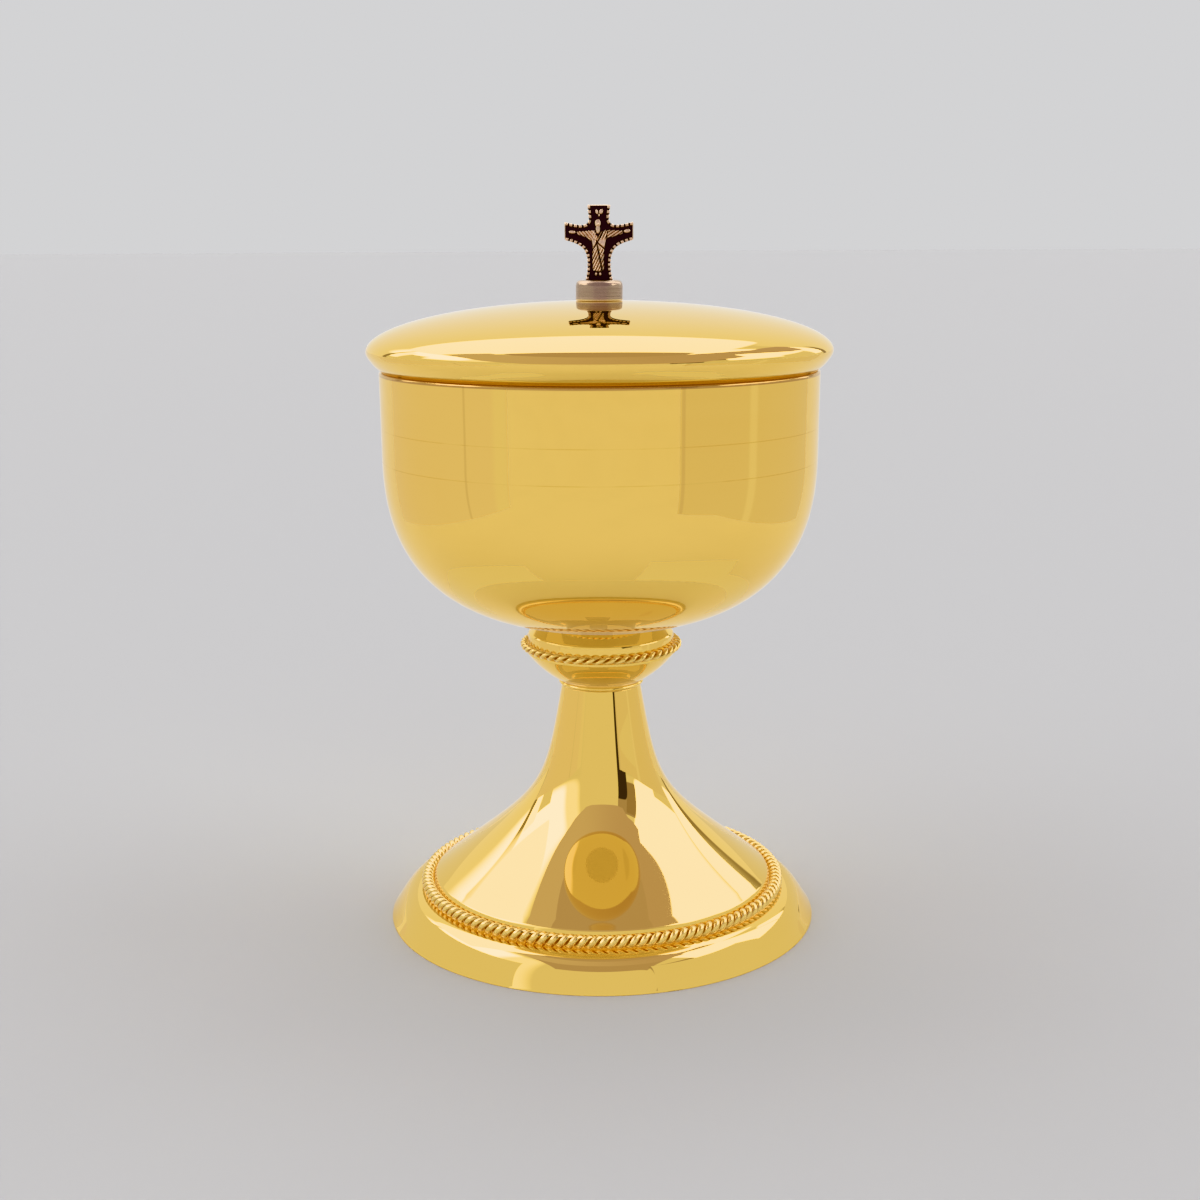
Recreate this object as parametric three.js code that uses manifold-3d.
// Lidded ciborium: a footed cup in gilt brass with a lift-off lid and a small cast bronze cross on it.
// Millimetres, +Z up, origin at the bottom centre of the foot, the face of the cross towards -Y.
import * as THREE from 'three';
import { mergeVertices } from 'three/addons/utils/BufferGeometryUtils.js';
import Module from 'manifold-3d';

// Clearances
const seatGap = 0.3; // between a soldered or seated piece and the curved face that carries it
const threadGap = 0.3; // around a rod or a stud in its hole
const lidPlay = 0.5; // around the lip ring in the mouth of the bowl

// Foot and stem, spun as one trumpet
const footRadius = 61.6;
const footWall = 1.2;
const footEdgeWidth = 3.4; // flat turned-in edge that stands on the table
const flangeHeight = 8.65; // seat of the rope ring above the table
const flangeWidth = 10.7; // from the edge of the foot in to the middle of the rope ring
const flangeShoulder = 4.6; // how far in from the edge the flange begins to roll over
const flangeRollIn = 2.8;
const flangeRollHeight = 3.8;
const ridgeWidth = 0.75; // bright ridge between the cone and the rope ring
const ridgeDrop = 1.1;
const coneRise = 3.95; // lower edge of the cone above the seat of the rope ring
const waistRadius = 16.7; // where the line of the stem and the line of the cone would cross
const waistHeight = 36.3;
const stemRadius = 11.2;
const stemHeight = 67.5;
const stemPlate = 2; // thickness of the end of the stem that the knop stands on

// Rope rings, each of two twisted wires
const footRopeWire = 3.5; // across both strands
const footRopeTurns = 60;
const knopRopeWire = 2.3;
const knopRopeTurns = 24;
const ropeWaist = 0.55; // thickness of the pair between the strands, as a share of its full width
const ropeSides = 4; // points round the outline of the pair
const stepsPerHalfTurn = 3;

// Knop between stem and bowl
const knopBeadRadius = 12.7;
const knopBeadHeight = 1.6;
const knopWaistRadius = 12.2;
const knopCupHeight = 11.05;
const knopRimRadius = 21.3;
const knopRimHeight = 0.7;
const knopBellyRadius = 17.6; // handle of the curve from the bead up to the rim
const knopBellyHeight = 5.1;
const knopWall = 1.6;
const neckRadius = 20.4;
const neckWall = 1.6;
const neckHeight = 7.95; // at the middle of its wall; the top follows the underside of the bowl

// Bowl
const bowlRadius = 60.3;
const bowlFlare = 0.2; // how much wider the rim is than the waist of the bowl
const bowlCurveHeight = 51.2; // height of the rounded part, below the upright wall
const bowlHeight = 71.5;
const bowlFullness = 2.6; // 2 would be an ellipse, more is fuller at the corner
const bowlWall = 1.3;
const rimRound = 0.5;

// What holds bowl, knop and foot together
const rodRadius = 3;
const bossFlangeRadius = 12;
const bossFlangeHeight = 2.5;
const bossRadius = 7;
const bossLength = 9;
const bossRoof = 2; // metal left above the blind hole of the boss
const discHeight = 26; // underside of the disc above the table
const discThickness = 2.5;
const washerRadius = 8;
const washerThickness = 1.2;
const nutAcrossFlats = 10;
const nutHeight = 5;
const rodEnd = 2.5; // rod left showing below the nut

// Lid
const lidOverhang = 3.43; // how much wider the lid is than the rim of the bowl
const lidSkirt = 5.3; // height of the widest line of the lid above its seat
const lidSkirtIn = 1.38; // handle of the curve from the widest line down to the seat
const lidSkirtDown = 3.24;
const lidEdgeInset = 0.4;
const lidEdgeLift = 0.5;
const lidRise = 13.35; // height of the dome above its widest line
const lidWall = 1;
const lidHem = 1.5; // thickness of the turned-in hem that rests on the bowl
const lipWall = 1;
const lipDepth = 6;
const lipFlange = 0.8;
const lipFlangeReach = 0.9; // how far the flange of the lip ring lies out over the hem

// Finial
const studRadius = 2;
const barrelRadius = 6.2;
const barrelHeight = 5.2;
const barrelRound = 1.2;
const barrelRoof = 1.6;
const tenonRadius = 0.9;
const tenonSunk = 0.5; // how far the tenon runs up into the cross, which is one casting with it
const finialWasherRadius = 5.5;
const finialWasherThickness = 0.8;
const finialNutAcrossFlats = 7;
const finialNutHeight = 3.2;
const studEnd = 1.1;
const crossHeight = 19.9;
const crossHalfSpan = 9.3;
const crossThickness = 2.4;
const crossFootHalfWidth = 3.7;
const crossShaftHalfWidth = 3.15;
const crossArmBottom = 10.7;
const crossArmTop = 15.4;
const crossNeckHalfWidth = 2.75;
const crossTopHalfWidth = 3.1;
const crossFootShare = 0.19; // end of the flare at the foot, as a share of the height to the arm
const crossShaftShare = 0.42; // where the shaft starts to widen into the arm
const crossArmSweep = 2.4; // how far below the arm the curve up to it is pulled
const crossArmSag = 1.2; // how far the long edges of the arm bow
const beadPitch = 1.3;
const beadLength = 0.95;
const beadWidth = 0.62;
const beadHeight = 0.35;
const beadMargin = 0.04; // plain metal left outside the beads
const reliefHeight = 0.5;

// Facets round the turned pieces
const roundLarge = 40;
const roundMiddle = 28;
const roundSmall = 16;

// Heights that follow from the sizes above
const knopRimZ = stemHeight + knopCupHeight;
const rodHole = rodRadius + threadGap;
const studHole = studRadius + threadGap;

const wasm = await Module();
wasm.setup();

const at = (radius, height) => new THREE.Vector2(radius, height);

// Points of a curve that bends once between two ends, pulled by one or two handles
function bend(start, handle, end, steps) {
  return new THREE.QuadraticBezierCurve(start, handle, end).getPoints(steps);
}

function sweep(start, handleA, handleB, end, steps) {
  return new THREE.CubicBezierCurve(start, handleA, handleB, end).getPoints(steps);
}

// The same line moved sideways, to the left of the way it runs
function offsetLine(points, distance) {
  return points.map((point, i) => {
    const before = points[Math.max(i - 1, 0)];
    const after = points[Math.min(i + 1, points.length - 1)];
    const along = after.clone().sub(before).normalize();
    return at(point.x - along.y * distance, point.y + along.x * distance);
  });
}

// Radius of a line of points where it passes a height
function radiusAt(points, height) {
  for (let i = 1; i < points.length; i += 1) {
    const a = points[i - 1];
    const b = points[i];
    if ((a.y - height) * (b.y - height) <= 0 && a.y !== b.y) {
      return a.x + ((b.x - a.x) * (height - a.y)) / (b.y - a.y);
    }
  }
  throw new Error(`no point of the line is at height ${height}`);
}

// A turned solid from its half section, listed up the outside and down the inside
function turned(section, facets) {
  const closed = section[0].x > 0 ? [...section, section[0]] : section;
  return new THREE.LatheGeometry(closed, facets).rotateX(Math.PI / 2);
}

function flatRing(inner, outer, height, facets) {
  return turned([at(inner, 0), at(outer, 0), at(outer, height), at(inner, height)], facets);
}

function upright(radius, height, facets) {
  return new THREE.CylinderGeometry(radius, radius, height, facets)
    .rotateX(Math.PI / 2)
    .translate(0, 0, height / 2);
}

function hexNut(acrossFlats, bore, height) {
  const corner = acrossFlats / Math.sqrt(3);
  const outline = new THREE.Shape();
  for (let k = 0; k < 6; k += 1) {
    const angle = (k * Math.PI) / 3;
    if (k === 0) outline.moveTo(corner, 0);
    else outline.lineTo(corner * Math.cos(angle), corner * Math.sin(angle));
  }
  outline.closePath();
  outline.holes.push(new THREE.Path().absarc(0, 0, bore, 0, 2 * Math.PI, true));
  return new THREE.ExtrudeGeometry(outline, { depth: height, bevelEnabled: false, curveSegments: 8 });
}

// A ring of two twisted wires: the outline of the pair turns as it runs round the ring, with a crest
// at each of the two wires and a waist between them
function ropeRing(ringRadius, wire, turns) {
  const sides = ropeSides;
  const stations = turns * 2 * stepsPerHalfTurn;
  const positions = [];
  const faces = [];
  for (let i = 0; i < stations; i += 1) {
    const around = (i / stations) * 2 * Math.PI;
    const here = i * sides;
    const next = ((i + 1) % stations) * sides;
    for (let k = 0; k < sides; k += 1) {
      const angle = around * turns + (k / sides) * 2 * Math.PI;
      const reach = (wire / 2) * (k % (sides / 2) === 0 ? 1 : ropeWaist);
      const radius = ringRadius + reach * Math.cos(angle);
      positions.push(radius * Math.cos(around), radius * Math.sin(around), reach * Math.sin(angle));
      const up = (k + 1) % sides;
      faces.push(here + k, next + k, here + up, next + k, next + up, here + up);
    }
  }
  const geometry = new THREE.BufferGeometry();
  geometry.setAttribute('position', new THREE.Float32BufferAttribute(positions, 3));
  geometry.setIndex(faces);
  geometry.computeVertexNormals();
  return geometry;
}

// Foot: ring radii and the outer line from the stem's top down to the ridge beside the rope ring
const footRopeRing = footRadius - flangeWidth;
const riserRadius = footRopeRing - footRopeWire / 2 - seatGap;
const coneFoot = at(riserRadius - ridgeWidth, flangeHeight + coneRise);
const waist = at(waistRadius, waistHeight);
const coneSteps = 9;
const insideSteps = 5;

function coneLine(steps) {
  return sweep(at(stemRadius, stemHeight), waist, waist, coneFoot, steps);
}

// The hollow of the cone, and the same line a seat's gap further in
const hollow = offsetLine(coneLine(insideSteps), -footWall);
const hollowSeat = offsetLine(coneLine(insideSteps), -footWall - seatGap);

function flangeLine(steps) {
  const seatEdge = at(footRopeRing + footRopeWire / 2, flangeHeight);
  const shoulder = at(footRadius - flangeShoulder, flangeHeight);
  const roll = at(footRadius - flangeRollIn, flangeRollHeight);
  return sweep(seatEdge, shoulder, roll, at(footRadius, 0), steps);
}

function footShell() {
  const edgeInner = footRadius - footEdgeWidth;
  const underFlange = offsetLine(flangeLine(insideSteps), -footWall);
  const underStem = stemHeight - stemPlate;
  return turned([
    at(edgeInner, 0),
    ...flangeLine(insideSteps).toReversed(),
    at(riserRadius, flangeHeight),
    at(riserRadius, coneFoot.y - ridgeDrop),
    ...coneLine(coneSteps).toReversed(),
    at(rodHole, stemHeight),
    at(rodHole, underStem),
    at(radiusAt(hollow, underStem), underStem),
    ...hollow.filter((point) => point.y < underStem),
    at(riserRadius - footWall, flangeHeight - footWall),
    ...underFlange.filter((point) => point.y > footWall),
    at(radiusAt(underFlange, footWall), footWall),
    at(edgeInner, footWall),
  ], roundLarge);
}

// Knop: the cup stands on the stem, its rope ring and the neck on its rim
function knopCup() {
  const outside = bend(
    at(knopWaistRadius, knopBeadHeight),
    at(knopBellyRadius, knopBellyHeight),
    at(knopRimRadius, knopCupHeight - knopRimHeight),
    4,
  );
  const rimDepth = knopCupHeight - knopWall;
  const inside = offsetLine(outside, knopWall).filter((point) => point.y < rimDepth).toReversed();
  return turned([
    at(rodHole, 0),
    at(knopWaistRadius, 0),
    at(knopBeadRadius, knopBeadHeight / 3),
    at(knopBeadRadius, (knopBeadHeight * 2) / 3),
    ...outside,
    at(knopRimRadius, knopCupHeight),
    at(neckRadius - neckWall, knopCupHeight),
    ...inside,
    at(rodHole, inside.at(-1).y),
  ], roundMiddle);
}

// Bowl: a rounded lower part whose section is a fuller curve than an ellipse, then an upright wall
const neckMiddle = neckRadius - neckWall / 2;

function bowlDrop(radius) {
  const share = (radius / bowlRadius) ** bowlFullness;
  return bowlCurveHeight * (1 - (1 - share) ** (1 / bowlFullness));
}

function neck() {
  const top = (radius) => neckHeight + bowlDrop(radius) - bowlDrop(neckMiddle);
  const inner = neckRadius - neckWall;
  const section = [at(inner, 0), at(neckRadius, 0), at(neckRadius, top(neckRadius)), at(inner, top(inner))];
  return turned(section, roundMiddle);
}

const bowlBottom = knopRimZ + neckHeight + seatGap - bowlDrop(neckMiddle);
const rimZ = bowlBottom + bowlHeight;
const rimRadius = bowlRadius + bowlFlare;

function bowlCurve(steps) {
  const points = [];
  for (let i = 0; i <= steps; i += 1) {
    const turn = (i / steps) * (Math.PI / 2);
    const radius = bowlRadius * Math.sin(turn) ** (2 / bowlFullness);
    const height = bowlCurveHeight * (1 - Math.cos(turn) ** (2 / bowlFullness));
    points.push(at(i === 0 ? 0 : radius, height));
  }
  return points;
}

function bowl() {
  const outside = bowlCurve(10);
  const inside = offsetLine(bowlCurve(7), bowlWall).slice(1);
  return turned([
    ...outside,
    at(rimRadius, bowlHeight - rimRound),
    at(rimRadius - rimRound, bowlHeight),
    at(rimRadius - bowlWall, bowlHeight),
    ...inside.toReversed(),
    at(0, bowlWall),
  ], roundLarge);
}

// Under the bowl: a turned boss that follows its underside, and the rod that is screwed into it
function bowlBoss() {
  const bottom = bowlDrop(bossFlangeRadius) - seatGap - bossLength;
  const crown = [1, 0.6, 0].map((share) => {
    const radius = bossFlangeRadius * share;
    return at(radius, bowlDrop(radius) - seatGap);
  });
  return turned([
    at(0, -seatGap - bossRoof),
    at(rodHole, -seatGap - bossRoof),
    at(rodHole, bottom),
    at(bossRadius, bottom),
    at(bossRadius, crown[0].y - bossFlangeHeight),
    at(bossFlangeRadius, crown[0].y - bossFlangeHeight),
    ...crown,
  ], roundMiddle / 2);
}

const rodTop = bowlBottom - seatGap - bossRoof - threadGap;
const rodBottom = discHeight - washerThickness - nutHeight - rodEnd;

// The disc seats in the cone of the foot, so its edge follows the cone's inner face
function clampDisc() {
  return turned([
    at(rodHole, 0),
    at(radiusAt(hollowSeat, discHeight), 0),
    at(radiusAt(hollowSeat, discHeight + discThickness), discThickness),
    at(rodHole, discThickness),
  ], roundMiddle);
}

// Lid: dome, widest line, skirt that runs in to the bowl, and a hem that rests on the bowl's rim
const lidRadius = rimRadius + lidOverhang;
const lidEdgeRadius = rimRadius - lidEdgeInset;
const lipRadius = rimRadius - bowlWall - lidPlay;
const hemInner = lipRadius + seatGap;
const lidApex = lidSkirt + lidRise;

function domeLine(steps) {
  const points = [];
  for (let i = 0; i < steps; i += 1) {
    const turn = (i / steps) * (Math.PI / 2);
    points.push(at(lidRadius * Math.cos(turn), lidSkirt + lidRise * Math.sin(turn)));
  }
  return points;
}

function skirtLine(steps) {
  const edge = at(lidEdgeRadius, lidEdgeLift);
  const handle = at(lidRadius - lidSkirtIn, lidSkirt - lidSkirtDown);
  return bend(edge, handle, at(lidRadius, lidSkirt), steps);
}

function domeHeight(radius) {
  return lidSkirt + lidRise * Math.sqrt(1 - (radius / lidRadius) ** 2);
}

function lidShell() {
  const outside = [...skirtLine(4), ...domeLine(8).slice(1)];
  const insideLine = offsetLine([...skirtLine(4), ...domeLine(6).slice(1)], lidWall);
  const inside = insideLine.filter((point) => point.y > lidHem);
  return turned([
    at(hemInner, 0),
    at(lidEdgeRadius - lidEdgeInset, 0),
    ...outside,
    at(studHole, domeHeight(studHole)),
    at(studHole, domeHeight(studHole) - lidWall),
    ...inside.toReversed(),
    at(radiusAt(insideLine, lidHem), lidHem),
    at(hemInner, lidHem),
  ], roundLarge);
}

// Soldered inside the lid: its wall drops into the bowl and its flange lies on the hem
function lidLipRing() {
  const inner = lipRadius - lipWall;
  const reach = hemInner + lipFlangeReach - seatGap;
  return turned([
    at(inner, -lipDepth),
    at(lipRadius - lipWall / 2, -lipDepth),
    at(lipRadius, -lipDepth + lipWall),
    at(lipRadius, lidHem),
    at(reach, lidHem),
    at(reach, lidHem + lipFlange),
    at(inner, lidHem + lipFlange),
  ], roundLarge);
}

// Finial: a turned barrel with a softened upper edge, a blind hole for the stud and one for the cross
function finialBarrel() {
  const shoulder = bend(
    at(barrelRadius, barrelHeight - barrelRound),
    at(barrelRadius, barrelHeight),
    at(barrelRadius - barrelRound, barrelHeight),
    3,
  );
  return turned([
    at(studHole, 0),
    at(barrelRadius - barrelRound / 6, 0),
    at(barrelRadius, barrelRound / 6),
    ...shoulder,
    at(tenonRadius + threadGap, barrelHeight),
    at(tenonRadius + threadGap, barrelHeight - barrelRoof),
    at(studHole, barrelHeight - barrelRoof),
  ], roundMiddle);
}

// The right-hand edge of the cross, in two runs with the plain end of the arm between them
const shaftLow = at(crossShaftHalfWidth, crossArmBottom * crossFootShare);
const shaftHigh = at(crossShaftHalfWidth, crossArmBottom * crossShaftShare);
const crossLowerEdge = new THREE.CurvePath();
crossLowerEdge.add(new THREE.QuadraticBezierCurve(at(crossFootHalfWidth, 0), shaftLow, shaftHigh));
crossLowerEdge.add(new THREE.CubicBezierCurve(
  shaftHigh,
  at(crossShaftHalfWidth, crossArmBottom - crossArmSweep),
  at(crossHalfSpan / 2, crossArmBottom - crossArmSag),
  at(crossHalfSpan, crossArmBottom),
));
const neckFoot = at(crossNeckHalfWidth, crossArmTop + crossArmSag);
const crossUpperEdge = new THREE.CurvePath();
crossUpperEdge.add(new THREE.CubicBezierCurve(
  at(crossHalfSpan, crossArmTop),
  at(crossHalfSpan / 2, crossArmTop - crossArmSag),
  at(crossNeckHalfWidth, crossArmTop - crossArmSag),
  neckFoot,
));
crossUpperEdge.add(new THREE.LineCurve(neckFoot, at(crossTopHalfWidth, crossHeight)));

// Stands a flat outline up, so that it faces -Y and grows towards the viewer from a given depth
function standing(shape, depth, start, bevel) {
  const rounded = bevel > 0;
  const straight = depth - bevel;
  return new THREE.ExtrudeGeometry(shape, {
    depth: straight,
    bevelEnabled: rounded,
    bevelThickness: bevel,
    bevelSize: bevel,
    bevelOffset: -bevel,
    bevelSegments: 1,
    curveSegments: 3,
  }).translate(0, 0, start).rotateX(Math.PI / 2);
}

function crossPlate() {
  const right = [...crossLowerEdge.getSpacedPoints(9), ...crossUpperEdge.getSpacedPoints(7)];
  const left = right.map((point) => at(-point.x, point.y)).toReversed();
  return standing(new THREE.Shape([...right, ...left]), crossThickness, -crossThickness / 2, 0);
}

// One bead of the border, lying along the edge just inside it
function bead(edge, share, side) {
  const point = edge.getPointAt(share);
  const along = edge.getTangentAt(share);
  const inset = beadWidth / 2 + beadMargin;
  const x = side * (point.x - along.y * inset);
  const z = point.y + along.x * inset;
  return new THREE.BoxGeometry(beadLength, beadHeight * 2, beadWidth)
    .rotateY(-side * Math.atan2(along.y, along.x))
    .translate(x, -crossThickness / 2, z);
}

function borderBeads() {
  const beads = [];
  for (const edge of [crossLowerEdge, crossUpperEdge]) {
    const count = Math.floor(edge.getLength() / beadPitch);
    for (let i = 0; i < count; i += 1) {
      const share = (i + 0.5) / count;
      beads.push(bead(edge, share, 1), bead(edge, share, -1));
    }
  }
  return beads;
}

// Low relief of a robed figure with its arms stretched out, drawn on a cross of one size and scaled
// to this one; its back is sunk into the plate
const drawnHeight = 19.9;
const drawnHalfSpan = 9.3;
const reliefSunk = 0.2;

function robe() {
  const shape = new THREE.Shape();
  shape.moveTo(-1.6, 2.5);
  shape.quadraticCurveTo(0, 2.1, 1.6, 2.5);
  shape.quadraticCurveTo(1.2, 7.5, 1.7, 10.4);
  shape.lineTo(6, 12.3);
  shape.lineTo(6.1, 13.1);
  shape.quadraticCurveTo(3.2, 13.1, 1.1, 13.5);
  shape.quadraticCurveTo(0, 12.9, -1.1, 13.5);
  shape.quadraticCurveTo(-3.2, 13.1, -6.1, 13.1);
  shape.lineTo(-6, 12.3);
  shape.lineTo(-1.7, 10.4);
  shape.quadraticCurveTo(-1.2, 7.5, -1.6, 2.5);
  return standing(shape, reliefHeight + reliefSunk, crossThickness / 2 - reliefSunk, reliefSunk);
}

function pebble(x, z, halfWidth, halfHeight, lean = 0) {
  return new THREE.SphereGeometry(1, 8, 4)
    .scale(halfWidth, reliefHeight, halfHeight)
    .rotateY(lean)
    .translate(x, -crossThickness / 2, z);
}

// Robe and head, and on each side a hand, a foot and a leaf at the top of the cross
function figure() {
  const pieces = [robe(), pebble(0, 14.9, 0.68, 1.02)];
  for (const side of [-1, 1]) {
    pieces.push(
      pebble(side * 7.2, 12.75, 0.75, 0.4),
      pebble(side * 0.55, 1.75, 0.3, 0.5),
      pebble(side * 0.45, 17.9, 0.3, 0.8, side * 0.5),
    );
  }
  return pieces.map((part) => part.scale(crossHalfSpan / drawnHalfSpan, 1, crossHeight / drawnHeight));
}

function solidOf(geometry) {
  const bare = geometry.clone();
  bare.deleteAttribute('normal');
  bare.deleteAttribute('uv');
  const merged = mergeVertices(bare, 1e-4);
  return new wasm.Manifold(new wasm.Mesh({
    numProp: 3,
    vertProperties: merged.attributes.position.array,
    triVerts: new Uint32Array(merged.index.array),
  }));
}

function joined(geometries) {
  const whole = geometries.map(solidOf).reduce((sum, next) => sum.add(next));
  const mesh = whole.getMesh();
  const geometry = new THREE.BufferGeometry();
  geometry.setAttribute('position', new THREE.Float32BufferAttribute(mesh.vertProperties, 3));
  geometry.setIndex(Array.from(mesh.triVerts));
  geometry.computeVertexNormals();
  return geometry;
}

// Cross, beads, figure and the tenon below it are one casting
function finialCross() {
  const tenonLength = barrelRoof - seatGap;
  const tenon = upright(tenonRadius, tenonLength + tenonSunk, roundSmall / 2).translate(0, 0, -tenonLength);
  return joined([crossPlate(), ...borderBeads(), ...figure(), tenon]);
}

// Finishes as in the photograph: polished gilding, plain brass inside, bronze on the lid
const gold = new THREE.MeshStandardMaterial({ color: 0xe3bd58, roughness: 0.08, metalness: 1 });
const ropeGold = new THREE.MeshStandardMaterial({ color: 0xdcb24a, roughness: 0.2, metalness: 1 });
const rawBrass = new THREE.MeshStandardMaterial({ color: 0xb99a55, roughness: 0.35, metalness: 1 });
const bronze = new THREE.MeshStandardMaterial({ color: 0xa08058, roughness: 0.4, metalness: 1 });
const darkBronze = new THREE.MeshStandardMaterial({ color: 0x5a4030, roughness: 0.5, metalness: 0.8 });
const steel = new THREE.MeshStandardMaterial({ color: 0xa9acb0, roughness: 0.35, metalness: 1 });

function piece(name, geometry, material, height = 0) {
  const mesh = new THREE.Mesh(geometry, material.clone());
  mesh.name = name;
  mesh.position.z = height;
  return mesh;
}

const knopRopeRing = neckRadius + seatGap + knopRopeWire / 2;
const footRopeZ = flangeHeight + seatGap + footRopeWire / 2;
const knopRopeZ = knopRimZ + seatGap + knopRopeWire / 2;
const lidUnderside = rimZ + domeHeight(finialWasherRadius) - lidWall - seatGap;
const finialNutTop = lidUnderside - finialWasherThickness;
const barrelZ = rimZ + lidApex + seatGap;
const studTop = barrelZ + barrelHeight - barrelRoof - threadGap;
const studBottom = finialNutTop - finialNutHeight - studEnd;
const washerTop = discHeight - washerThickness;

const cup = new THREE.Group();
cup.add(
  piece('foot_shell', footShell(), gold),
  piece('foot_rope_ring', ropeRing(footRopeRing, footRopeWire, footRopeTurns), ropeGold, footRopeZ),
  piece('knop_cup', knopCup(), gold, stemHeight),
  piece('knop_rope_ring', ropeRing(knopRopeRing, knopRopeWire, knopRopeTurns), ropeGold, knopRopeZ),
  piece('knop_neck', neck(), gold, knopRimZ),
  piece('bowl', bowl(), gold, bowlBottom),
  piece('bowl_boss', bowlBoss(), rawBrass, bowlBottom),
  piece('tie_rod', upright(rodRadius, rodTop - rodBottom, roundSmall), rawBrass, rodBottom),
  piece('clamp_disc', clampDisc(), rawBrass, discHeight),
  piece('clamp_washer', flatRing(rodHole, washerRadius, washerThickness, roundSmall), steel, washerTop),
  piece('clamp_nut', hexNut(nutAcrossFlats, rodHole, nutHeight), steel, washerTop - nutHeight),
);

const lid = new THREE.Group();
lid.add(
  piece('lid_shell', lidShell(), gold, rimZ),
  piece('lid_lip_ring', lidLipRing(), gold, rimZ),
  piece('finial_barrel', finialBarrel(), bronze, barrelZ),
  piece('finial_cross', finialCross(), darkBronze, barrelZ + barrelHeight),
  piece('finial_stud', upright(studRadius, studTop - studBottom, roundSmall), steel, studBottom),
  piece(
    'finial_washer',
    flatRing(studHole, finialWasherRadius, finialWasherThickness, roundSmall),
    rawBrass,
    finialNutTop,
  ),
  piece(
    'finial_nut',
    hexNut(finialNutAcrossFlats, studHole, finialNutHeight),
    rawBrass,
    finialNutTop - finialNutHeight,
  ),
);

const ciborium = new THREE.Group();
ciborium.add(cup, lid);

export default ciborium;
